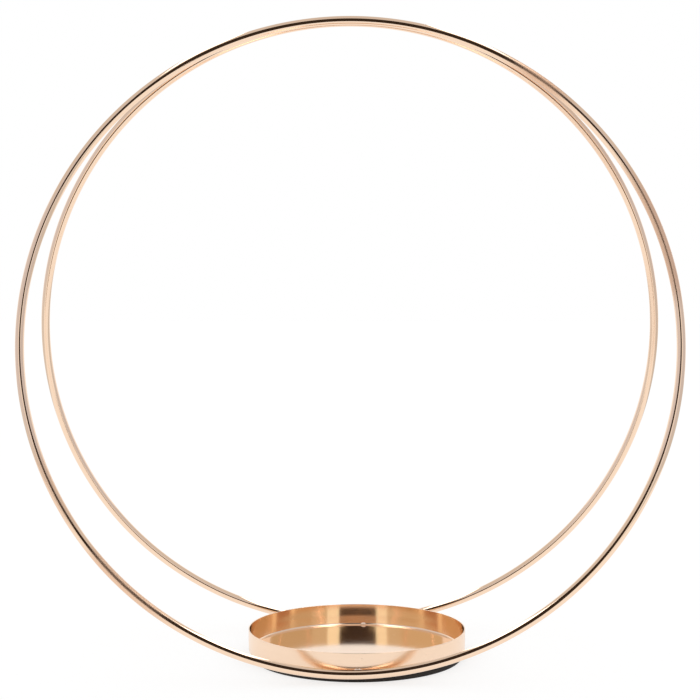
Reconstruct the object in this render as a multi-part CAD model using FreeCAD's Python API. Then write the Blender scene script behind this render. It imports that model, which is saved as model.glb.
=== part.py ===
import FreeCAD, Part
import math
import os

# Candle ring: two wire hoops of one size lean together over a shallow round dish.
# Each hoop is welded to the outside of the dish at its lowest point, front and back,
# and the two hoops are welded to each other where they meet at the top.
# The dish stands on a soft round pad that is stuck to its underside.
# Origin: on the table, under the middle of the hoops. +Z is up and the front faces -Y.
# Sizes are in millimetres.

# Hoops
hoop_diameter = 300.0
wire_diameter = 4.0

# Dish, a pressed sheet with a flat floor and a nearly upright wall
dish_diameter = 101.5
dish_height = 10.8
dish_sheet = 0.5
wall_draft = 0.1
dish_corner = 1.5
dish_offset = 3.0

# Pad under the dish, and the film that holds it: each stops a little short of what it is on
pad_inset = 1.5
pad_thickness = 2.1
film_inset = 1.25
film_thickness = 0.2

# Welds: the root gap is what the weld metal fills between two pieces that meet
root_gap = 0.1
dish_weld_length = 5.6
dish_weld_depth = 1.5
dish_weld_height = 3.4
top_weld_length = 5.0
top_weld_depth = 1.8
top_weld_height = 3.0

# Heat pip on the inside of the dish, behind the back weld
pip_length = 2.6
pip_depth = 1.3
pip_height = 1.5
pip_shift = 3.8
pip_seat_share = 0.6

# What follows from the sizes above
wire_radius = wire_diameter / 2
hoop_radius = hoop_diameter / 2 - wire_radius
dish_bottom = pad_thickness + film_thickness
dish_floor = dish_bottom + dish_sheet
rim_radius = dish_diameter / 2
foot_radius = rim_radius - wall_draft
pad_radius = rim_radius - pad_inset
film_radius = pad_radius - film_inset
corner_inside = dish_corner - dish_sheet
wire_height = dish_bottom + wire_radius


def wall_radius(height):
    """Radius of the outside of the dish's wall at a height above the table."""
    rise = (height - dish_bottom) / dish_height
    return foot_radius + wall_draft * rise


# Inside of the dish's wall, at the floor
floor_radius = wall_radius(dish_floor) - dish_sheet

# A hoop's lowest point touches the wall, and its highest point touches the other hoop
hoop_foot_y = wall_radius(wire_height) + root_gap + wire_radius
hoop_head_y = root_gap / 2 + wire_radius
lean = math.asin((hoop_foot_y - hoop_head_y) / (2 * hoop_radius))
hoop_head_z = wire_height + 2 * hoop_radius * math.cos(lean)


def circle_edges(shape, radius, height):
    """The circular edges of a shape that have this radius and lie at this height."""
    found = []
    for edge in shape.Edges:
        curve = edge.Curve
        if not isinstance(curve, Part.Circle):
            continue
        same_radius = math.isclose(curve.Radius, radius, rel_tol=1e-6)
        same_height = math.isclose(curve.Center.z, height, rel_tol=1e-6, abs_tol=1e-6)
        if same_radius and same_height:
            found.append(edge)
    return found


def hoop(side):
    """One closed wire hoop; side is -1 for the front and 1 for the back."""
    up = FreeCAD.Vector(0, -side * math.sin(lean), math.cos(lean))
    across = FreeCAD.Vector(0, math.cos(lean), side * math.sin(lean))
    foot = FreeCAD.Vector(0, side * hoop_foot_y, wire_height)
    centre = foot + up * hoop_radius
    return Part.makeTorus(hoop_radius, wire_radius, centre, across)


def cup(foot, rim, bottom, rounding):
    """A solid cup on the dish's axis, from a height up to the rim, with a rounded foot."""
    rise = dish_bottom + dish_height - bottom
    whole = Part.makeCone(foot, rim, rise, FreeCAD.Vector(dish_offset, 0, bottom))
    return whole.makeFillet(rounding, circle_edges(whole, foot, bottom))


def disc(radius, bottom, thickness):
    """A flat disc under the dish, on the dish's axis."""
    return Part.makeCylinder(radius, thickness, FreeCAD.Vector(dish_offset, 0, bottom))


def nugget(length, depth, height, centre):
    """A rounded blob of weld metal, with its poles towards the two pieces that it joins."""
    stretch = FreeCAD.Matrix()
    stretch.scale(length / 2, depth / 2, height / 2)
    ball = Part.makeSphere(1, FreeCAD.Vector(0, 0, 0), FreeCAD.Vector(0, 1, 0))
    blob = ball.transformGeometry(stretch)
    blob.translate(centre)
    return blob


def dish_weld(side, wire, block):
    """The weld in the groove between a leaning hoop and the outside of the dish's wall."""
    meeting_y = side * (hoop_foot_y - wire_radius - root_gap / 2)
    centre = FreeCAD.Vector(dish_offset, meeting_y, wire_height)
    blob = nugget(dish_weld_length, dish_weld_depth, dish_weld_height, centre)
    return blob.cut(block).cut(wire)


def heat_pip(hollow):
    """The pip of metal in the rounded corner behind the back weld, clear of the flat floor."""
    corner_radius = floor_radius - corner_inside + pip_depth * pip_seat_share
    corner_y = math.sqrt(corner_radius ** 2 - pip_shift ** 2)
    centre = FreeCAD.Vector(dish_offset + pip_shift, corner_y, dish_floor + pip_height / 4)
    return nugget(pip_length, pip_depth, pip_height, centre).common(hollow)


def top_weld(front, back):
    """The weld in the grooves where the two hoops meet at the top."""
    centre = FreeCAD.Vector(0, 0, hoop_head_z)
    blob = nugget(top_weld_length, top_weld_depth, top_weld_height, centre)
    return blob.cut(front).cut(back)


os.makedirs("parts", exist_ok=True)

front_hoop = hoop(-1)
back_hoop = hoop(1)
dish_block = cup(foot_radius, rim_radius, dish_bottom, dish_corner)
dish_hollow = cup(floor_radius, rim_radius - dish_sheet, dish_floor, corner_inside)
candle_dish = dish_block.cut(dish_hollow)

nodes = {
    "front_hoop": front_hoop,
    "back_hoop": back_hoop,
    "candle_dish": candle_dish,
    "base_pad": disc(pad_radius, 0, pad_thickness),
    "pad_adhesive": disc(film_radius, pad_thickness, film_thickness),
    "front_weld": dish_weld(-1, front_hoop, dish_block),
    "back_weld": dish_weld(1, back_hoop, dish_block),
    "heat_pip": heat_pip(dish_hollow),
    "top_weld": top_weld(front_hoop, back_hoop),
}

for name, shape in nodes.items():
    box = shape.BoundBox
    print(f"{name}: {len(shape.Solids)} solid, {shape.Volume:.2f} mm3, valid {shape.isValid()}")
    print(f"  x {box.XMin:.2f} {box.XMax:.2f} y {box.YMin:.2f} {box.YMax:.2f} z {box.ZMin:.2f} {box.ZMax:.2f}")
    shape.exportStep(f"parts/{name}.step")

print(f"hoops lean {math.degrees(lean):.2f} degrees, height {hoop_head_z + wire_radius:.2f} mm")
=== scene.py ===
import logging
import math
from contextlib import contextmanager
from dataclasses import dataclass
from enum import Enum
from typing import Callable, Iterator

import bmesh
import bpy
from mathutils import Matrix, Vector


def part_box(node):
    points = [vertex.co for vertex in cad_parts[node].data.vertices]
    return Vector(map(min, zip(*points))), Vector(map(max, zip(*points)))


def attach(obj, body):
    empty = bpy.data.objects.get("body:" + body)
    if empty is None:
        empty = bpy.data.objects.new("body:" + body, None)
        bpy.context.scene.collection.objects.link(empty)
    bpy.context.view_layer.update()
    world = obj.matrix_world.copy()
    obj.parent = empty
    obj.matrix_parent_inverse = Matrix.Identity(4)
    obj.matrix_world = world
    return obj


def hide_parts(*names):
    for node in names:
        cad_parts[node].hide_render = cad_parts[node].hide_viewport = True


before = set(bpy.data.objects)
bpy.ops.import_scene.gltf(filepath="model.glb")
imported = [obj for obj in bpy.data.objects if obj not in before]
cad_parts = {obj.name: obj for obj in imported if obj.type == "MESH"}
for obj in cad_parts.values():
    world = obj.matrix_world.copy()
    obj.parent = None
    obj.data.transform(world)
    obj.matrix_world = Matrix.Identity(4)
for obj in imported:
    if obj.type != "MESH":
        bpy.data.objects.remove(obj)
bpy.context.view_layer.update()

# The candle ring dressed for its portrait: two wire hoops, a pressed dish, a foam pad with its film, and
# the weld metal that holds them. Lengths are in metres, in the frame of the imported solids.

BODY = "root"

WHITE = (1.0, 1.0, 1.0)

log = logging.getLogger("candle_ring")

Piece = bpy.types.Object
Socket = bpy.types.NodeSocket
Colour = tuple[float, float, float]
Spot = tuple[float, float]
Keep = Callable[[Vector], bool]


def mm(length: float) -> float:
    """A length in millimetres, given in metres."""
    return length * 0.001


# Helpers for shaping meshes

# Faces of a cut or welded piece that turn by more than this, in degrees, meet in a hard line
CUT_CREASE = 50.0


def clear_selection() -> None:
    """Deselects everything, so that an operator acts on the new piece alone."""
    if bpy.context.object and bpy.context.object.mode != "OBJECT":
        bpy.ops.object.mode_set(mode="OBJECT")
    bpy.ops.object.select_all(action="DESELECT")


def take_up(piece: Piece) -> None:
    """Makes a piece the active one, and the only one selected."""
    clear_selection()
    bpy.context.view_layer.objects.active = piece
    piece.select_set(True)


def settle(name: str) -> Piece:
    """Names the primitive just added and puts its place, turn and scale into its mesh.

    Args:
        name: the piece's name.

    Returns:
        The piece, alone selected and active.
    """
    piece = bpy.context.object
    piece.name = name
    piece.data.name = name
    bpy.ops.object.transform_apply(location=True, rotation=True, scale=True)
    return piece


@contextmanager
def editing(piece: Piece) -> Iterator[None]:
    """Opens a piece in edit mode with nothing selected, and closes it again.

    Args:
        piece: the piece to shape.
    """
    take_up(piece)
    bpy.ops.object.mode_set(mode="EDIT")
    bpy.ops.mesh.select_all(action="DESELECT")
    yield
    bpy.ops.object.mode_set(mode="OBJECT")


def pick_edges(piece: Piece, keep: Keep) -> None:
    """Selects, in edit mode, the edges whose two ends both pass a test of place.

    Args:
        piece: the piece that is open in edit mode.
        keep: says whether a point is wanted.
    """
    bpy.ops.mesh.select_mode(type="EDGE")
    work = bmesh.from_edit_mesh(piece.data)
    for edge in work.edges:
        edge.select_set(all(keep(corner.co) for corner in edge.verts))
    bmesh.update_edit_mesh(piece.data)


def pick_points(piece: Piece, keep: Keep) -> None:
    """Selects, in edit mode, the points that pass a test of place.

    Args:
        piece: the piece that is open in edit mode.
        keep: says whether a point is wanted.
    """
    bpy.ops.mesh.select_mode(type="VERT")
    work = bmesh.from_edit_mesh(piece.data)
    for point in work.verts:
        point.select_set(keep(point.co))
    work.select_flush_mode()
    bmesh.update_edit_mesh(piece.data)


def pick_faces(piece: Piece, keep: Callable[[bmesh.types.BMFace], bool]) -> None:
    """Selects, in edit mode, the faces that pass a test.

    Args:
        piece: the piece that is open in edit mode.
        keep: says whether a face is wanted.
    """
    bpy.ops.mesh.select_mode(type="FACE")
    work = bmesh.from_edit_mesh(piece.data)
    for face in work.faces:
        face.select_set(keep(face))
    bmesh.update_edit_mesh(piece.data)


def apply_modifier(piece: Piece, kind: str, **settings: object) -> None:
    """Adds one modifier to a piece and applies it.

    Args:
        piece: the piece to change.
        kind: the modifier's type.
        settings: what to set on it.
    """
    take_up(piece)
    modifier = piece.modifiers.new(kind.title(), kind)
    for name, value in settings.items():
        setattr(modifier, name, value)
    bpy.ops.object.modifier_apply(modifier=modifier.name)


def shade(piece: Piece, crease: float = 180.0) -> None:
    """Shades a piece smooth, with a hard line wherever two faces turn by more than an angle.

    Args:
        piece: the piece to shade.
        crease: that angle, in degrees.
    """
    take_up(piece)
    bpy.ops.object.shade_smooth_by_angle(angle=math.radians(crease))


def near(value: float, wanted: float, slack: float = mm(0.05)) -> bool:
    """Whether a length is a wanted one, within some slack."""
    return abs(value - wanted) < slack


def round_place(low: Vector, high: Vector) -> tuple[Vector, float, float]:
    """Works out the place and size of an upright round solid from its box.

    Args:
        low: the box's lowest corner.
        high: its highest corner.

    Returns:
        The middle of the solid's underside, its radius and its height.
    """
    base = Vector(((low.x + high.x) / 2, (low.y + high.y) / 2, low.z))
    return base, (high.x - low.x) / 2, high.z - low.z


def cut_disc(name: str, facets: int, base: Vector, radius: float, height: float) -> Piece:
    """Cuts a flat disc.

    Args:
        name: the piece's name.
        facets: how many sides the disc gets.
        base: the middle of its underside.
        radius: its radius.
        height: its thickness.

    Returns:
        The disc.
    """
    clear_selection()
    bpy.ops.mesh.primitive_circle_add(vertices=facets, radius=radius, fill_type="NGON", location=base)
    piece = settle(name)
    with editing(piece):
        bpy.ops.mesh.select_all(action="SELECT")
        bpy.ops.mesh.extrude_region_move(TRANSFORM_OT_translate={"value": (0, 0, height)})
        bpy.ops.mesh.select_all(action="SELECT")
        bpy.ops.mesh.normals_make_consistent(inside=False)
    return piece


def add_rings(piece: Piece, facets: int, rings: int, width: float) -> None:
    """Draws rings inside the edge of each flat round face, which keep its shading flat.

    Args:
        piece: the piece, open in edit mode.
        facets: how many sides such a face has.
        rings: how many rings it gets.
        width: how wide each ring is.
    """
    for _ in range(rings):
        pick_faces(piece, lambda face: len(face.verts) == facets)
        bpy.ops.mesh.inset(thickness=width, depth=0)


# Helpers for wiring materials, and the finishes

# Where a Mix node that mixes colours has its two colours and its result
MIX_FIRST = 6
MIX_SECOND = 7
MIX_RESULT = 2


class Bench:
    """A node tree that is being wired, with short calls to add nodes and join them."""

    def __init__(self, tree: bpy.types.NodeTree) -> None:
        """Starts on a tree, which is emptied first."""
        self.tree = tree
        self.tree.nodes.clear()

    def add(self, kind: str, **settings: object) -> bpy.types.Node:
        """Adds a node.

        Args:
            kind: the node's type.
            settings: its properties, or its inputs by name in capital letters with _ for a space.

        Returns:
            The node.
        """
        node = self.tree.nodes.new(kind)
        for name, value in settings.items():
            if name.isupper():
                node.inputs[name.replace("_", " ").title()].default_value = value
            else:
                setattr(node, name, value)
        return node

    def join(self, source: Socket, target: Socket) -> None:
        """Joins an output to an input."""
        self.tree.links.new(source, target)

    def math(self, operation: str, first: object, second: object = 0.0) -> Socket:
        """Adds a sum of two values.

        Args:
            operation: the Math node's operation.
            first: a socket or a number.
            second: a socket or a number.

        Returns:
            The result's socket.
        """
        node = self.add("ShaderNodeMath", operation=operation)
        for place, value in zip(node.inputs, (first, second)):
            if isinstance(value, Socket):
                self.join(value, place)
            else:
                place.default_value = value
        return node.outputs[0]

    def blend(self, mask: Socket, first: Colour, second: Colour) -> Socket:
        """Mixes two colours by a mask.

        Args:
            mask: the socket with the mask.
            first: the colour at 0.
            second: the colour at 1.

        Returns:
            The mixed colour's socket.
        """
        node = self.add("ShaderNodeMix", data_type="RGBA")
        self.join(mask, node.inputs["Factor"])
        node.inputs[MIX_FIRST].default_value = (*first, 1.0)
        node.inputs[MIX_SECOND].default_value = (*second, 1.0)
        return node.outputs[MIX_RESULT]

    def tinted(self, mask: Socket, colour: Socket, tint: Colour) -> Socket:
        """Mixes a tint over a colour that is already wired.

        Args:
            mask: the socket with the mask.
            colour: the colour at 0.
            tint: the colour at 1.

        Returns:
            The mixed colour's socket.
        """
        mixed = self.blend(mask, tint, tint)
        self.join(colour, mixed.node.inputs[MIX_FIRST])
        return mixed

    def surface(self, shader: bpy.types.Node) -> None:
        """Puts a shader on the material's surface."""
        out = self.add("ShaderNodeOutputMaterial")
        self.join(shader.outputs[0], out.inputs["Surface"])


def open_material(name: str) -> tuple[bpy.types.Material, Bench]:
    """Starts a material.

    Args:
        name: its name.

    Returns:
        The material, and the bench with its tree.
    """
    material = bpy.data.materials.new(name)
    material.use_nodes = True
    return material, Bench(material.node_tree)


def new_group(name: str, inputs: dict[str, float | None],
              outputs: tuple[str, ...]) -> tuple[Bench, bpy.types.Node, bpy.types.Node]:
    """Starts a shader node group.

    Args:
        name: the group's name.
        inputs: each input with its first value, or None for a vector.
        outputs: the names of the value outputs.

    Returns:
        The bench with the group's tree, its input node and its output node.
    """
    tree = bpy.data.node_groups.new(name, "ShaderNodeTree")
    for label, value in inputs.items():
        kind = "NodeSocketVector" if value is None else "NodeSocketFloat"
        socket = tree.interface.new_socket(name=label, in_out="INPUT", socket_type=kind)
        if value is not None:
            socket.default_value = value
    for label in outputs:
        tree.interface.new_socket(name=label, in_out="OUTPUT", socket_type="NodeSocketFloat")
    bench = Bench(tree)
    return bench, bench.add("NodeGroupInput"), bench.add("NodeGroupOutput")


def make_run_lines() -> bpy.types.NodeTree:
    """Fine lines that run round an axis, as drawing leaves on a wire and turning on a dish.

    Returns:
        The group. Its Vector is measured from the axis, which is that vector's Z.
    """
    bench, given, result = new_group(
        "run_lines", {"Vector": None, "Lines per metre": 3000.0, "Drift": 2.0},
        ("Height", "Tone", "Turn", "Reach"))
    parts = bench.add("ShaderNodeSeparateXYZ")
    bench.join(given.outputs["Vector"], parts.inputs[0])
    flat = bench.add("ShaderNodeCombineXYZ")
    bench.join(parts.outputs["X"], flat.inputs["X"])
    bench.join(parts.outputs["Y"], flat.inputs["Y"])
    reach = bench.add("ShaderNodeVectorMath", operation="LENGTH")
    bench.join(flat.outputs[0], reach.inputs[0])
    way = bench.math("ARCTAN2", parts.outputs["Y"], parts.outputs["X"])
    place = bench.add("ShaderNodeCombineXYZ")
    across = bench.math("MULTIPLY", reach.outputs["Value"], given.outputs["Lines per metre"])
    along = bench.math("MULTIPLY", parts.outputs["Z"], given.outputs["Lines per metre"])
    bench.join(across, place.inputs["X"])
    bench.join(along, place.inputs["Y"])
    bench.join(bench.math("MULTIPLY", way, given.outputs["Drift"]), place.inputs["Z"])
    fine = bench.add("ShaderNodeTexNoise", SCALE=1.0, DETAIL=3.0, ROUGHNESS=0.6)
    bench.join(place.outputs[0], fine.inputs["Vector"])
    bench.join(fine.outputs["Fac"], result.inputs["Height"])
    broad = bench.add("ShaderNodeTexNoise", SCALE=0.22, DETAIL=1.0)
    bench.join(place.outputs[0], broad.inputs["Vector"])
    bench.join(broad.outputs["Fac"], result.inputs["Tone"])
    bench.join(way, result.inputs["Turn"])
    bench.join(reach.outputs["Value"], result.inputs["Reach"])
    return bench.tree


def make_hand_haze() -> bpy.types.NodeTree:
    """Soft patches that handling and wiping leave on a bright surface, as a roughness.

    Returns:
        The group.
    """
    bench, given, result = new_group(
        "hand_haze", {"Vector": None, "Patch": 25.0, "Clean": 0.05, "Hazy": 0.12}, ("Roughness", "Mask"))
    patch = bench.add("ShaderNodeTexNoise", DETAIL=3.0, ROUGHNESS=0.55)
    bench.join(given.outputs["Vector"], patch.inputs["Vector"])
    bench.join(given.outputs["Patch"], patch.inputs["Scale"])
    mask = bench.add("ShaderNodeMapRange", interpolation_type="SMOOTHSTEP", FROM_MIN=0.38, FROM_MAX=0.7)
    bench.join(patch.outputs["Fac"], mask.inputs["Value"])
    rise = bench.math("SUBTRACT", given.outputs["Hazy"], given.outputs["Clean"])
    step = bench.math("MULTIPLY", rise, mask.outputs["Result"])
    bench.join(bench.math("ADD", step, given.outputs["Clean"]), result.inputs["Roughness"])
    bench.join(mask.outputs["Result"], result.inputs["Mask"])
    return bench.tree


def make_specks() -> bpy.types.NodeTree:
    """Small scattered specks, for dust on metal and for open cells in foam.

    Returns:
        The group.
    """
    bench, given, result = new_group(
        "specks", {"Vector": None, "Count": 900.0, "Size": 0.12, "Share": 0.2}, ("Mask", "Depth"))
    cells = bench.add("ShaderNodeTexVoronoi", feature="F1")
    bench.join(given.outputs["Vector"], cells.inputs["Vector"])
    bench.join(given.outputs["Count"], cells.inputs["Scale"])
    inside = bench.math("LESS_THAN", cells.outputs["Distance"], given.outputs["Size"])
    chance = bench.add("ShaderNodeSeparateColor")
    bench.join(cells.outputs["Color"], chance.inputs[0])
    chosen = bench.math("LESS_THAN", chance.outputs[0], given.outputs["Share"])
    bench.join(bench.math("MULTIPLY", inside, chosen), result.inputs["Mask"])
    bench.join(cells.outputs["Distance"], result.inputs["Depth"])
    return bench.tree


def make_dull_patch() -> bpy.types.NodeTree:
    """A stretch round an axis where the polish is dull, with soft ragged ends.

    Returns:
        The group. Its Turn, Middle and Half are angles in radians.
    """
    bench, given, result = new_group(
        "dull_patch", {"Vector": None, "Turn": 0.0, "Middle": 0.0, "Half": 0.1, "Soft": 0.14, "Wander": 0.16},
        ("Mask",))
    ragged = bench.add("ShaderNodeTexNoise", SCALE=35.0, DETAIL=1.0)
    bench.join(given.outputs["Vector"], ragged.inputs["Vector"])
    swing = bench.math("SUBTRACT", ragged.outputs["Fac"], 0.5)
    shift = bench.math("MULTIPLY", swing, given.outputs["Wander"])
    away = bench.math("ABSOLUTE", bench.math("SUBTRACT", given.outputs["Turn"], given.outputs["Middle"]))
    edge = bench.math("SUBTRACT", given.outputs["Half"], bench.math("ADD", away, shift))
    share = bench.math("DIVIDE", edge, given.outputs["Soft"])
    mask = bench.add("ShaderNodeMapRange", interpolation_type="SMOOTHSTEP")
    bench.join(share, mask.inputs["Value"])
    bench.join(mask.outputs["Result"], result.inputs["Mask"])
    return bench.tree


class Effects:
    """The shader node groups that several finishes share, each built once."""

    run_lines: bpy.types.NodeTree
    hand_haze: bpy.types.NodeTree
    specks: bpy.types.NodeTree
    dull_patch: bpy.types.NodeTree

    @classmethod
    def build(cls) -> None:
        """Builds every group."""
        cls.run_lines = make_run_lines()
        cls.hand_haze = make_hand_haze()
        cls.specks = make_specks()
        cls.dull_patch = make_dull_patch()


@dataclass(frozen=True)
class Axis:
    """The axis that a finish's lines run round: a point on it, and the turn that brings it to Z."""

    point: Vector
    turn: float = 0.0


@dataclass(frozen=True)
class Dull:
    """One stretch of a hoop where the polish is dull: its middle and half its length, in degrees."""

    middle: float
    half: float
    strength: float = 1.0


@dataclass(frozen=True)
class RoseGold:
    """Rose-gold plate over steel, polished, with the fine lines of how the piece was made."""

    name: str
    tint: Colour = (0.956, 0.73, 0.552)
    worn: Colour = (0.93, 0.69, 0.51)
    clean: float = 0.04
    hazy: float = 0.07
    patch: float = 22.0
    lines: float = 2600.0
    drift: float = 3.0
    depth: float = mm(0.0006)
    metal: float = 1.0
    dust: float = 0.0
    dust_count: float = 420.0
    dust_rough: float = 0.25
    dull: tuple[Dull, ...] = ()
    dull_tint: Colour = (0.82, 0.54, 0.37)
    dull_rough: float = 0.32
    skin_reach: float = 0.0
    skin_rough: float = 0.0

    def make(self, axis: Axis) -> bpy.types.Material:
        """Makes the material.

        Args:
            axis: the axis that the fine lines run round.

        Returns:
            The material.
        """
        material, bench = open_material(self.name)
        place = bench.add("ShaderNodeTexCoord").outputs["Object"]
        centred = bench.add("ShaderNodeMapping", vector_type="TEXTURE")
        centred.inputs["Location"].default_value = axis.point
        centred.inputs["Rotation"].default_value = (axis.turn, 0.0, 0.0)
        bench.join(place, centred.inputs["Vector"])
        lines = bench.add("ShaderNodeGroup", node_tree=Effects.run_lines, DRIFT=self.drift)
        lines.inputs["Lines per metre"].default_value = self.lines
        bench.join(centred.outputs[0], lines.inputs["Vector"])
        haze = bench.add("ShaderNodeGroup", node_tree=Effects.hand_haze,
                         PATCH=self.patch, CLEAN=self.clean, HAZY=self.hazy)
        bench.join(place, haze.inputs["Vector"])
        specks = bench.add("ShaderNodeGroup", node_tree=Effects.specks,
                           COUNT=self.dust_count, SHARE=self.dust)
        bench.join(place, specks.inputs["Vector"])
        shader = bench.add("ShaderNodeBsdfPrincipled", METALLIC=self.metal)
        colour = bench.blend(lines.outputs["Tone"], self.tint, self.worn)
        dusty = bench.math("MULTIPLY", specks.outputs["Mask"], self.dust_rough)
        rough = bench.math("ADD", haze.outputs["Roughness"], dusty)
        for stretch in self.dull:
            mask = self.dull_mask(bench, place, lines.outputs["Turn"], stretch)
            colour = bench.tinted(mask, colour, self.dull_tint)
            rough = bench.math("ADD", rough, bench.math("MULTIPLY", mask, self.dull_rough))
        if self.skin_reach:
            skin = bench.math("GREATER_THAN", lines.outputs["Reach"], self.skin_reach)
            rough = bench.math("ADD", rough, bench.math("MULTIPLY", skin, self.skin_rough))
        bench.join(colour, shader.inputs["Base Color"])
        bench.join(rough, shader.inputs["Roughness"])
        bump = bench.add("ShaderNodeBump", STRENGTH=1.0, DISTANCE=self.depth)
        bench.join(lines.outputs["Height"], bump.inputs["Height"])
        bench.join(bump.outputs["Normal"], shader.inputs["Normal"])
        bench.surface(shader)
        return material

    def dull_mask(self, bench: Bench, place: Socket, turn: Socket, stretch: Dull) -> Socket:
        """Wires the mask of one dull stretch.

        Args:
            bench: the material's tree.
            place: where a point is.
            turn: how far round the axis it is.
            stretch: the stretch.

        Returns:
            The mask's socket.
        """
        patch = bench.add("ShaderNodeGroup", node_tree=Effects.dull_patch,
                          MIDDLE=math.radians(stretch.middle), HALF=math.radians(stretch.half))
        bench.join(place, patch.inputs["Vector"])
        bench.join(turn, patch.inputs["Turn"])
        return bench.math("MULTIPLY", patch.outputs["Mask"], stretch.strength)


@dataclass(frozen=True)
class CellFoam:
    """Black closed-cell foam sheet, with small cells at its skin and a little dust."""

    name: str
    skin: Colour = (0.021, 0.018, 0.0165)
    rubbed: Colour = (0.034, 0.030, 0.026)
    dust: Colour = (0.09, 0.083, 0.074)
    roughness: float = 0.82
    rubbed_roughness: float = 0.95
    patch: float = 90.0
    gloss: float = 0.35
    cells: float = 2400.0
    cell_size: float = 0.22
    cell_share: float = 0.07
    cell_depth: float = mm(0.03)

    def make(self) -> bpy.types.Material:
        """Makes the material.

        Returns:
            The material.
        """
        material, bench = open_material(self.name)
        place = bench.add("ShaderNodeTexCoord").outputs["Object"]
        cells = bench.add("ShaderNodeGroup", node_tree=Effects.specks,
                          COUNT=self.cells, SIZE=self.cell_size, SHARE=self.cell_share)
        bench.join(place, cells.inputs["Vector"])
        haze = bench.add("ShaderNodeGroup", node_tree=Effects.hand_haze,
                         PATCH=self.patch, CLEAN=self.roughness, HAZY=self.rubbed_roughness)
        bench.join(place, haze.inputs["Vector"])
        shader = bench.add("ShaderNodeBsdfPrincipled")
        shader.inputs["Specular IOR Level"].default_value = self.gloss
        body = bench.blend(haze.outputs["Mask"], self.skin, self.rubbed)
        bench.join(bench.tinted(cells.outputs["Mask"], body, self.dust), shader.inputs["Base Color"])
        bench.join(haze.outputs["Roughness"], shader.inputs["Roughness"])
        bump = bench.add("ShaderNodeBump", STRENGTH=0.7, DISTANCE=self.cell_depth)
        bench.join(cells.outputs["Depth"], bump.inputs["Height"])
        bench.join(bump.outputs["Normal"], shader.inputs["Normal"])
        bench.surface(shader)
        return material


@dataclass(frozen=True)
class StickyFilm:
    """Thin double-sided film, a little cloudy, with air caught under it here and there."""

    name: str
    clear: Colour = (0.62, 0.59, 0.5)
    cloudy: Colour = (0.74, 0.72, 0.65)

    def make(self) -> bpy.types.Material:
        """Makes the material.

        Returns:
            The material.
        """
        material, bench = open_material(self.name)
        place = bench.add("ShaderNodeTexCoord").outputs["Object"]
        haze = bench.add("ShaderNodeGroup", node_tree=Effects.hand_haze, PATCH=160.0, CLEAN=0.3, HAZY=0.55)
        bench.join(place, haze.inputs["Vector"])
        shader = bench.add("ShaderNodeBsdfPrincipled")
        bench.join(bench.blend(haze.outputs["Mask"], self.clear, self.cloudy), shader.inputs["Base Color"])
        bench.join(haze.outputs["Roughness"], shader.inputs["Roughness"])
        bench.surface(shader)
        return material


# The pieces


class Side(Enum):
    """Which of the two hoops, or of the two welds at the dish."""

    FRONT = -1
    BACK = 1

    @property
    def word(self) -> str:
        """The side's name, as the solids' names have it."""
        return self.name.lower()


# Where the polish of each hoop is dull, as the photograph shows it
DULL_STRETCHES: dict[Side, tuple[Dull, ...]] = {
    Side.FRONT: (Dull(18.0, 15.0, 0.9), Dull(54.0, 10.0), Dull(-152.0, 12.0, 0.5), Dull(-132.0, 12.0, 0.8)),
    Side.BACK: (Dull(42.0, 16.0, 0.35), Dull(4.0, 12.0, 0.2)),
}


def dress(piece: Piece, node: str, material: bpy.types.Material) -> Piece:
    """Gives a piece its material, hangs it under the ring's body and hides the solid that it stands for.

    Args:
        piece: the finished piece.
        node: the solid that it stands for.
        material: its material.

    Returns:
        The piece.
    """
    piece.data.materials.clear()
    piece.data.materials.append(material)
    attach(piece, BODY)
    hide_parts(node)
    log.info("%s stands for %s, %d faces", piece.name, node, len(piece.data.polygons))
    return piece


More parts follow.
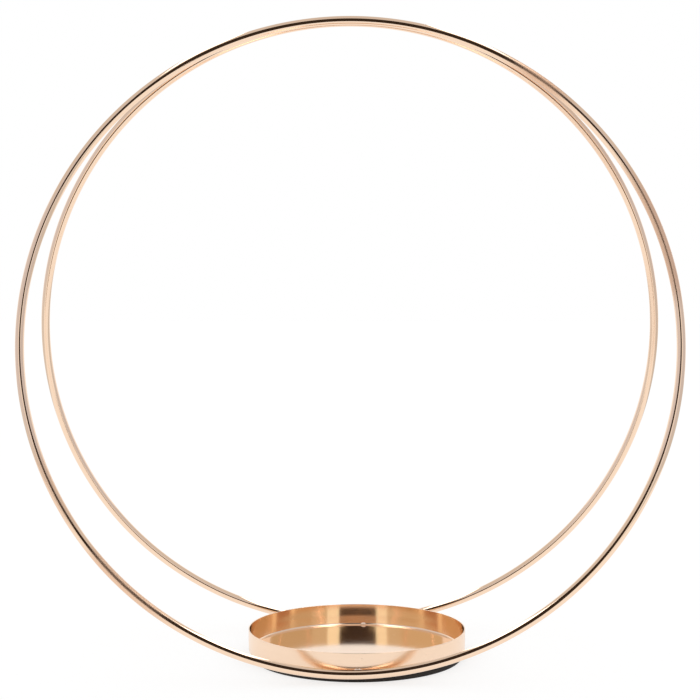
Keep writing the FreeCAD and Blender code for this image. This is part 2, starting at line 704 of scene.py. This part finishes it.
@dataclass
class WireHoop:
    """One closed hoop of round wire that leans over the dish, with the seam where its ends were joined."""

    side: Side
    seam_degrees: float
    wire_radius: float = mm(2.0)
    wire_sides: int = 40
    hoop_steps: int = 480
    seam_width: float = mm(0.5)
    seam_steps: int = 4
    seam_waist: float = 0.985
    seam_shoulder: float = 0.998
    seam_slack: float = mm(0.06)
    join_gap: float = mm(0.01)
    clearance: float = mm(0.015)

    def __post_init__(self) -> None:
        """Reads the hoop's place and lean from its solid, a hair inside its box, and places the seam."""
        low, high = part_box(f"{self.side.word}_hoop")
        self.centre = (low + high) / 2
        self.radius = (high.x - low.x) / 2 - self.wire_radius - self.clearance
        self.lean = math.asin(((high.y - low.y) / 2 - self.wire_radius) / self.radius)
        self.up = Vector((0, -self.side.value * math.sin(self.lean), math.cos(self.lean)))
        self.across = Vector((0, math.cos(self.lean), self.side.value * math.sin(self.lean)))
        turn = math.radians(self.seam_degrees)
        self.outward = Vector((1, 0, 0)) * math.cos(turn) + self.up * math.sin(turn)
        self.seam = self.centre + self.outward * self.radius
        self.along = self.outward.cross(self.across)

    @property
    def foot(self) -> Vector:
        """The middle of the wire at the hoop's lowest point."""
        return self.centre - self.up * self.radius

    @property
    def head(self) -> Vector:
        """The middle of the wire at the hoop's highest point."""
        return self.centre + self.up * self.radius

    def build(self) -> Piece:
        """Spins a ring of wire section round the hoop, then dresses down the seam.

        Returns:
            The hoop's piece.
        """
        facing = Matrix((self.outward, self.across, self.along)).transposed()
        clear_selection()
        bpy.ops.mesh.primitive_circle_add(
            vertices=self.wire_sides, radius=self.wire_radius, location=self.seam, rotation=facing.to_euler())
        piece = settle(f"{self.side.word}_hoop_wire")
        with editing(piece):
            bpy.ops.mesh.select_all(action="SELECT")
            bpy.ops.mesh.spin(steps=self.hoop_steps, angle=math.tau, center=self.centre, axis=self.across)
            bpy.ops.mesh.select_all(action="SELECT")
            bpy.ops.mesh.remove_doubles(threshold=self.join_gap)
            bpy.ops.mesh.normals_make_consistent(inside=False)
            bpy.ops.mesh.select_all(action="DESELECT")
            pick_edges(piece, lambda p: self.on_ring(p, 0))
            bpy.ops.mesh.bevel(offset=self.seam_width, segments=self.seam_steps, affect="EDGES")
            self.squeeze(piece, 0, self.seam_waist)
            self.squeeze(piece, self.seam_width / 2, self.seam_shoulder)
            self.squeeze(piece, -self.seam_width / 2, self.seam_shoulder)
        shade(piece)
        return piece

    def on_ring(self, point: Vector, shift: float) -> bool:
        """Whether a point is on the wire's ring that lies a shift along the wire from the seam."""
        away = point - self.seam
        return near(away.dot(self.along), shift, self.seam_slack) and away.length < self.wire_radius * 2

    def squeeze(self, piece: Piece, shift: float, scale: float) -> None:
        """Scales one ring of the wire at the seam.

        Args:
            piece: the hoop, open in edit mode.
            shift: how far along the wire the ring is.
            scale: its new width, where 1 leaves it as it is.
        """
        pick_points(piece, lambda p: self.on_ring(p, shift))
        bpy.ops.transform.resize(value=(scale, scale, scale), center_override=self.seam + self.along * shift)


@dataclass
class PressedDish:
    """The shallow dish, pressed from sheet: flat floor, rounded corner, nearly upright wall, eased rim.

    The wall's profile has a pair for each of its rings: how high the ring is, as a share of the dish's
    height, and how far it stays inside the rim's radius. It follows the reflections in the photograph.
    """

    facets: int = 288
    sheet: float = mm(0.5)
    draft: float = mm(0.215)
    corner: float = mm(1.5)
    corner_steps: int = 8
    rim_ease: float = mm(0.15)
    rim_steps: int = 3
    wall_profile: tuple[tuple[float, float], ...] = (
        (0.42, mm(0.038)), (0.56, mm(0.012)), (0.7, mm(0.018)), (0.82, mm(0.013)))
    floor_rings: int = 2
    ring_width: float = mm(1.2)
    crease: float = 60.0

    def __post_init__(self) -> None:
        """Reads the dish's place and size from its solid."""
        self.base, self.rim_radius, self.height = round_place(*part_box("candle_dish"))
        self.floor = self.base.z + self.sheet

    @property
    def foot_radius(self) -> float:
        """The wall's outer radius where it meets the floor."""
        return self.rim_radius - self.draft

    def reach(self, point: Vector) -> float:
        """How far a point is from the dish's axis."""
        return math.hypot(point.x - self.base.x, point.y - self.base.y)

    def holds(self, point: Vector) -> bool:
        """Whether a point is on the candle's side of the middle of the sheet."""
        rise = point.z - self.base.z
        reach = self.reach(point)
        middle = self.sheet / 2
        if rise > self.corner:
            return reach < self.foot_radius - middle
        if reach < self.foot_radius - self.corner:
            return rise > middle
        return math.hypot(reach - self.foot_radius + self.corner, rise - self.corner) < self.corner - middle

    def build(self) -> Piece:
        """Draws the floor, pulls the wall up, gives the sheet its thickness and rounds its edges.

        Returns:
            The dish's piece.
        """
        clear_selection()
        bpy.ops.mesh.primitive_circle_add(
            vertices=self.facets, radius=self.foot_radius, fill_type="NGON", location=self.base)
        piece = settle("dish_pressing")
        with editing(piece):
            pick_edges(piece, lambda p: near(self.reach(p), self.foot_radius))
            bpy.ops.mesh.extrude_edges_move(TRANSFORM_OT_translate={"value": (0, 0, self.height)})
            flare = self.rim_radius / self.foot_radius
            bpy.ops.transform.resize(value=(flare, flare, 1), center_override=self.base)
            self.belly(piece)
            bpy.ops.mesh.select_all(action="SELECT")
            bpy.ops.mesh.normals_make_consistent(inside=False)
            self.point_down(piece)
        apply_modifier(piece, "SOLIDIFY", thickness=self.sheet, offset=-1.0, use_even_offset=True)
        with editing(piece):
            self.round_loop(piece, self.foot_radius, 0, self.corner, self.corner_steps)
            self.round_loop(piece, None, self.sheet, self.corner - self.sheet, self.corner_steps)
            self.round_loop(piece, None, self.height, self.rim_ease, self.rim_steps)
            add_rings(piece, self.facets, self.floor_rings, self.ring_width)
        shade(piece, self.crease)
        apply_modifier(piece, "WEIGHTED_NORMAL", mode="FACE_AREA", weight=100, keep_sharp=True)
        return piece

    def belly(self, piece: Piece) -> None:
        """Cuts the wall into rings and brings each one to its place in the wall's profile.

        Args:
            piece: the open cup, in edit mode.
        """
        for share, short in self.wall_profile:
            level = self.base + Vector((0, 0, self.height * share))
            bpy.ops.mesh.select_all(action="SELECT")
            bpy.ops.mesh.bisect(plane_co=level, plane_no=(0, 0, 1))
            pick_points(piece, lambda p: near(p.z, level.z))
            ring = [self.reach(point.co) for point in bmesh.from_edit_mesh(piece.data).verts if point.select]
            scale = (self.rim_radius - short) * len(ring) / sum(ring)
            bpy.ops.transform.resize(value=(scale, scale, 1), center_override=level)

    def point_down(self, piece: Piece) -> None:
        """Turns the open cup's faces so that the floor looks down and the wall outwards."""
        work = bmesh.from_edit_mesh(piece.data)
        floor = max(work.faces, key=lambda face: len(face.verts))
        if floor.normal.z > 0:
            bpy.ops.mesh.select_all(action="SELECT")
            bpy.ops.mesh.flip_normals()

    def round_loop(self, piece: Piece, radius: float | None, rise: float, ease: float, steps: int) -> None:
        """Rounds the edges of one loop round the dish.

        Args:
            piece: the dish, open in edit mode.
            radius: the loop's radius, or None for every loop at its height that isn't the outer foot.
            rise: the loop's height over the dish's underside.
            ease: the radius of the rounding.
            steps: how many faces it gets.
        """
        height = self.base.z + rise
        pick_edges(piece, lambda p: near(p.z, height) and (radius is None or near(self.reach(p), radius)))
        bpy.ops.mesh.bevel(offset=ease, segments=steps, affect="EDGES")


@dataclass
class FoamPad:
    """The disc of foam that the ring stands on, with die-cut edges drawn in a little at their middle."""

    facets: int = 240
    edge_ease: float = mm(0.25)
    edge_steps: int = 3
    waist: float = 0.9975
    face_rings: int = 3
    ring_width: float = mm(4.0)

    def build(self) -> Piece:
        """Cuts the disc, draws its side in and eases its two edges.

        Returns:
            The pad's piece.
        """
        base, radius, height = round_place(*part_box("base_pad"))
        piece = cut_disc("foam_pad", self.facets, base, radius, height)
        middle = base + Vector((0, 0, height / 2))
        with editing(piece):
            bpy.ops.mesh.select_all(action="SELECT")
            bpy.ops.mesh.bisect(plane_co=middle, plane_no=(0, 0, 1))
            pick_points(piece, lambda p: near(p.z, middle.z))
            bpy.ops.transform.resize(value=(self.waist, self.waist, 1), center_override=middle)
            pick_edges(piece, lambda p: near(p.z, base.z) or near(p.z, base.z + height))
            bpy.ops.mesh.bevel(offset=self.edge_ease, segments=self.edge_steps, affect="EDGES")
            add_rings(piece, self.facets, self.face_rings, self.ring_width)
        shade(piece, CUT_CREASE)
        return piece


@dataclass
class FilmDisc:
    """The double-sided film between the pad and the dish."""

    facets: int = 240
    edge_ease: float = mm(0.04)
    edge_steps: int = 2
    slack: float = mm(0.02)

    def build(self) -> Piece:
        """Cuts the disc and softens its edges.

        Returns:
            The film's piece.
        """
        base, radius, height = round_place(*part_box("pad_adhesive"))
        piece = cut_disc("film_disc", self.facets, base, radius, height)
        with editing(piece):
            for level in (base.z, base.z + height):
                pick_edges(piece, lambda p: near(p.z, level, self.slack))
                bpy.ops.mesh.bevel(offset=self.edge_ease, segments=self.edge_steps, affect="EDGES")
        shade(piece, CUT_CREASE)
        return piece


@dataclass
class WeldBead:
    """A bead of weld metal that lies in a groove, with the shallow ripples of a bead that has set."""

    name: str
    centre: Vector
    length: float
    depth: float
    height: float
    ripples: int = 3
    ripple_share: float = 0.93
    span_share: float = 0.9
    sides: int = 32
    rings: int = 24
    slack: float = mm(0.01)

    def build(self, seats: list[Piece], stray: Keep | None = None) -> Piece:
        """Shapes the bead and cuts it to what it lies against.

        Args:
            seats: the pieces that it is welded to.
            stray: says whether a point is on the far side of the sheet, where no metal of the bead goes.

        Returns:
            The bead's piece.
        """
        clear_selection()
        bpy.ops.mesh.primitive_uv_sphere_add(
            segments=self.sides, ring_count=self.rings, radius=0.5, location=self.centre,
            rotation=(0, math.pi / 2, 0), scale=(self.height, self.depth, self.length))
        piece = settle(self.name)
        with editing(piece):
            for ripple in range(self.ripples):
                share = (ripple + 1) / (self.ripples + 1) * 2 - 1
                ring = round(math.acos(-share * self.span_share) / math.pi * self.rings)
                x = self.centre.x - self.length / 2 * math.cos(math.pi * ring / self.rings)
                pick_points(piece, lambda p: near(p.x, x, self.slack))
                bpy.ops.transform.resize(
                    value=(1, self.ripple_share, self.ripple_share), center_override=self.centre)
        for seat in seats:
            apply_modifier(piece, "BOOLEAN", operation="DIFFERENCE", solver="EXACT", object=seat)
        if stray:
            with editing(piece):
                pick_points(piece, stray)
                bpy.ops.mesh.delete(type="VERT")
        shade(piece, CUT_CREASE)
        return piece


# The studio

# Light Path's Glossy Depth is over these from the second and from the third reflection on
SECOND_REFLECTION = 1.5
THIRD_REFLECTION = 2.5


@dataclass(frozen=True)
class Glow:
    """How a card glows: its level, where 1 is white, and its colour.

    From the second reflection on, as between the dish's floor and wall, a card can show another colour
    (inner), and from the third on another level (deep). They stand for the glow inside the dish.
    """

    level: float
    tint: Colour = WHITE
    inner: Colour | None = None
    deep: float | None = None

    def make(self, name: str) -> bpy.types.Material:
        """Makes the material.

        Args:
            name: its name.

        Returns:
            The material.
        """
        material, bench = open_material(name)
        depth = bench.add("ShaderNodeLightPath").outputs["Glossy Depth"]
        light = bench.add("ShaderNodeEmission")
        second = bench.math("GREATER_THAN", depth, SECOND_REFLECTION)
        bench.join(bench.blend(second, self.tint, self.inner or self.tint), light.inputs["Color"])
        third = bench.math("GREATER_THAN", depth, THIRD_REFLECTION)
        rise = 0.0 if self.deep is None else self.deep - self.level
        strength = bench.math("ADD", bench.math("MULTIPLY", third, rise), self.level)
        bench.join(strength, light.inputs["Strength"])
        bench.surface(light)
        return material


@dataclass(frozen=True)
class Card:
    """One card or soft box that shows only in the metal: its corners, in order, and its glow."""

    name: str
    corners: tuple[tuple[float, float, float], ...]
    glow: Glow

    @classmethod
    def upright(cls, name: str, start: Spot, end: Spot, low: float, high: float, glow: Glow) -> "Card":
        """A card that stands upright.

        Args:
            name: the card's name.
            start: the spot on the table under its one side.
            end: the spot on the table under its other side.
            low: the height of its lower edge.
            high: the height of its upper edge.
            glow: how it glows.

        Returns:
            The card.
        """
        return cls(name, ((*start, low), (*end, low), (*end, high), (*start, high)), glow)

    @classmethod
    def flat(cls, name: str, start: Spot, end: Spot, height: float, glow: Glow) -> "Card":
        """A card that lies level.

        Args:
            name: the card's name.
            start: one corner.
            end: the corner across from it.
            height: its height.
            glow: how it glows.

        Returns:
            The card.
        """
        across, along = (end[0], start[1]), (start[0], end[1])
        return cls(name, tuple((*spot, height) for spot in (start, across, end, along)), glow)

    def build(self) -> None:
        """Sets the card up, as a part of the stage."""
        mesh = bpy.data.meshes.new(self.name)
        mesh.from_pydata(self.corners, [], [tuple(range(len(self.corners)))])
        card = bpy.data.objects.new(self.name, mesh)
        bpy.context.scene.collection.objects.link(card)
        mesh.materials.append(self.glow.make(f"{self.name}_glow"))
        card.visible_camera = False
        card.visible_diffuse = False
        card.visible_shadow = False


# Colours and glows that several cards share
COOL = (0.95, 0.955, 1.04)
AMBER = (0.92, 0.79, 0.53)
GAP = Glow(0.035, (1.0, 0.68, 0.46), deep=0.48)
FOOT = Glow(0.45, (0.11, 0.075, 0.06), (1.0, 0.52, 0.2), deep=0.75)
BOX = Glow(1.08, (0.86, 0.85, 0.83), (1.0, 1.04, 0.87))
WINDOW = Glow(3.0)

# The camera with its boom and foot, a dark sheet on the table in front for the camera's base and the shade
# there, soft boxes beside it, the room's walls, the table beside the floor's sheet, and the ceiling with two
# windows
BOOM = ((-0.18, -0.72, 0.29), (0.16, -0.72, 0.29), (0.14, -0.215, 0.48), (-0.15, -0.215, 0.48))
CARDS = (
    Card.upright("camera_foot", (-0.3, -0.72), (0.26, -0.72), 0.0, 0.126, FOOT),
    Card.upright("camera_gap", (-0.3, -0.72), (0.26, -0.72), 0.126, 0.29, GAP),
    Card("boom_gap", BOOM, GAP),
    # A dark sheet on the table in front: the camera's base, and painted shade at the table's edge, seen only
    # in the metal
    Card.flat("camera_base_and_shade", (-0.22, -0.72), (0.2, -0.42), 0.003, GAP),
    Card.upright("left_box", (-0.64, -0.9), (-0.33, -0.95), 0.0, 0.5, BOX),
    Card.upright("right_box", (0.29, -0.95), (0.6, -0.9), 0.0, 0.5, BOX),
    Card.upright("left_wall", (-2.4, 1.0), (-2.0, -1.6), 0.0, 1.6, Glow(0.75, COOL, AMBER)),
    Card.upright("right_wall", (2.0, -1.6), (2.4, 1.0), 0.0, 1.6, Glow(0.66, COOL, AMBER)),
    Card.upright("front_wall", (-2.0, -1.6), (2.0, -1.6), 0.0, 1.6, Glow(0.7, COOL, (0.99, 0.9, 0.65))),
    Card.flat("left_table", (-3.0, -2.0), (-0.45, 1.2), 0.002, Glow(0.74)),
    Card.flat("right_table", (0.42, -2.0), (3.0, 1.2), 0.002, Glow(0.66)),
    Card.flat("ceiling", (-2.4, -1.6), (2.4, 2.0), 1.6, Glow(0.68, (1.0, 0.97, 0.95))),
    Card.flat("left_window", (-0.68, -0.6), (-0.4, 1.9), 1.4, WINDOW),
    Card.flat("right_window", (0.3, -0.6), (0.56, 1.9), 1.4, WINDOW),
)


@dataclass
class Studio:
    """The plain floor, the light, the cards and the camera of the portrait."""

    camera_azimuth: float = -0.251
    camera_elevation: float = 1.621
    camera_distance: float = mm(649.046)
    camera_aim: tuple[float, float, float] = (mm(-0.189), 0.0, mm(143.239))
    lens: float = 71.43
    floor_size: float = 40.0
    floor_colour: Colour = (0.8, 0.8, 0.8)
    floor_share: float = 0.6
    floor_glow: float = 1.15

    def build(self) -> None:
        """Sets up all of it."""
        self.world()
        self.floor()
        for card in CARDS:
            card.build()
        self.camera()

    def seen(self, bench: Bench) -> Socket:
        """A mask of the rays that show the background: camera, glossy and transmission rays.

        Args:
            bench: the tree to wire it in.

        Returns:
            The mask's socket.
        """
        path = bench.add("ShaderNodeLightPath")
        both = bench.math("MAXIMUM", path.outputs["Is Camera Ray"], path.outputs["Is Glossy Ray"])
        return bench.math("MAXIMUM", both, path.outputs["Is Transmission Ray"])

    def world(self) -> None:
        """An even white world."""
        world = bpy.data.worlds.new("studio_white")
        bpy.context.scene.world = world
        world.use_nodes = True
        bench = Bench(world.node_tree)
        light = bench.add("ShaderNodeBackground", STRENGTH=1.0)
        light.inputs["Color"].default_value = (*WHITE, 1.0)
        out = bench.add("ShaderNodeOutputWorld")
        bench.join(light.outputs[0], out.inputs["Surface"])

    def floor(self) -> None:
        """A pale floor that shows white and keeps a soft shadow."""
        clear_selection()
        bpy.ops.mesh.primitive_plane_add(size=self.floor_size)
        floor = settle("studio_floor")
        material, bench = open_material("pale_floor")
        paint = bench.add("ShaderNodeBsdfDiffuse")
        paint.inputs["Color"].default_value = (*self.floor_colour, 1.0)
        light = bench.add("ShaderNodeEmission", STRENGTH=self.floor_glow)
        mix = bench.add("ShaderNodeMixShader")
        bench.join(bench.math("MULTIPLY", self.seen(bench), self.floor_share), mix.inputs[0])
        bench.join(paint.outputs[0], mix.inputs[1])
        bench.join(light.outputs[0], mix.inputs[2])
        bench.surface(mix)
        floor.data.materials.append(material)

    def camera(self) -> None:
        """The camera at the photograph's place."""
        azimuth = math.radians(self.camera_azimuth)
        elevation = math.radians(self.camera_elevation)
        back = Vector((math.sin(azimuth) * math.cos(elevation), -math.cos(azimuth) * math.cos(elevation),
                       math.sin(elevation)))
        lens = bpy.data.cameras.new("portrait_camera")
        lens.lens = self.lens
        camera = bpy.data.objects.new("portrait_camera", lens)
        bpy.context.scene.collection.objects.link(camera)
        camera.location = Vector(self.camera_aim) + back * self.camera_distance
        camera.rotation_euler = (-back).to_track_quat("-Z", "Y").to_euler()
        bpy.context.scene.camera = camera
        bpy.context.scene.view_settings.view_transform = "Standard"


# The whole ring


@dataclass
class CandleRing:
    """The dressed ring: hoops, dish, the weld metal that joins them, and the pad it all stands on."""

    front_seam: float = 93.2
    back_seam: float = 86.0
    root_gap: float = mm(0.1)
    weld_size: tuple[float, float, float] = (mm(5.6), mm(1.5), mm(4.3))
    crown_size: tuple[float, float, float] = (mm(5.0), mm(1.8), mm(3.0))
    pip_size: tuple[float, float, float] = (mm(2.6), mm(1.3), mm(1.5))

    def __post_init__(self) -> None:
        """Reads where the hoops and the dish are, and mixes the weld metal, paler than the plate and partly
        diffuse, which paints in the glint of the beads and the pip.
        """
        self.hoops = (WireHoop(Side.FRONT, self.front_seam), WireHoop(Side.BACK, self.back_seam))
        self.pressing = PressedDish()
        self.wires: dict[Side, Piece] = {}
        # The weld finish is paler and less metallic than the plate: a painted glint, so that the beads and
        # the pip show bright
        self.weld_metal = RoseGold(
            "plated_weld", tint=(0.98, 0.86, 0.78), worn=(0.9, 0.72, 0.6), clean=0.16, hazy=0.3, patch=400.0,
            lines=900.0, drift=40.0, depth=mm(0.01), metal=0.45).make(Axis(Vector((0, 0, 0))))

    def build(self) -> None:
        """Builds and dresses every piece."""
        self.build_hoops()
        dish = self.build_dish()
        self.build_dish_welds(dish)
        self.build_crown_weld()
        self.build_pip(dish)
        self.build_pad()

    def build_hoops(self) -> None:
        """The two hoops, each in drawn wire whose lines run round the hoop."""
        for hoop in self.hoops:
            finish = RoseGold(f"drawn_wire_{hoop.side.word}", dull=DULL_STRETCHES[hoop.side])
            plate = finish.make(Axis(hoop.centre, math.pi / 2 + hoop.side.value * hoop.lean))
            self.wires[hoop.side] = dress(hoop.build(), f"{hoop.side.word}_hoop", plate)

    def build_dish(self) -> Piece:
        """The dish, in sheet with turning lines.

        Returns:
            The dish's piece.
        """
        skin = self.pressing.foot_radius - self.pressing.sheet / 2
        turned = RoseGold("turned_dish", clean=0.095, hazy=0.13, lines=1800.0, drift=1.2, dust=0.02,
                          skin_reach=skin, skin_rough=0.13)
        plate = turned.make(Axis(self.pressing.base))
        return dress(self.pressing.build(), "candle_dish", plate)

    def build_dish_welds(self, dish: Piece) -> None:
        """The beads in the grooves between the hoops' lowest points and the dish's wall.

        Args:
            dish: the dish's piece.
        """
        for hoop in self.hoops:
            groove = hoop.foot.y - hoop.side.value * (hoop.wire_radius + self.root_gap / 2)
            centre = Vector((self.pressing.base.x, groove, hoop.foot.z))
            bead = WeldBead(f"{hoop.side.word}_weld_bead", centre, *self.weld_size)
            dress(bead.build([self.wires[hoop.side], dish], self.pressing.holds), f"{hoop.side.word}_weld",
                  self.weld_metal)

    def build_crown_weld(self) -> None:
        """The bead where the two hoops meet at the top."""
        bead = WeldBead("crown_weld_bead", Vector((0, 0, self.hoops[0].head.z)), *self.crown_size)
        dress(bead.build(list(self.wires.values())), "top_weld", self.weld_metal)

    def build_pip(self, dish: Piece) -> None:
        """The pip that the back weld's heat raised inside the dish.

        Args:
            dish: the dish's piece.
        """
        low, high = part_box("heat_pip")
        level = self.pressing.floor + self.pip_size[2] / 4
        middle = Vector(((low.x + high.x) / 2, (low.y + high.y) / 2, level))
        pip = WeldBead("heat_pip_bead", middle, *self.pip_size, ripples=1)
        dress(pip.build([dish], lambda point: not self.pressing.holds(point)), "heat_pip",
              self.weld_metal)

    def build_pad(self) -> None:
        """The pad and the film that holds it."""
        pad = dress(FoamPad().build(), "base_pad", CellFoam("black_foam").make())
        dress(FilmDisc().build(), "pad_adhesive", StickyFilm("pad_film").make())


def main() -> None:
    """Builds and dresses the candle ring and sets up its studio."""
    logging.basicConfig(level=logging.INFO, format="%(name)s: %(message)s")
    Effects.build()
    CandleRing().build()
    Studio().build()
    clear_selection()


if __name__ == "__main__":
    main()
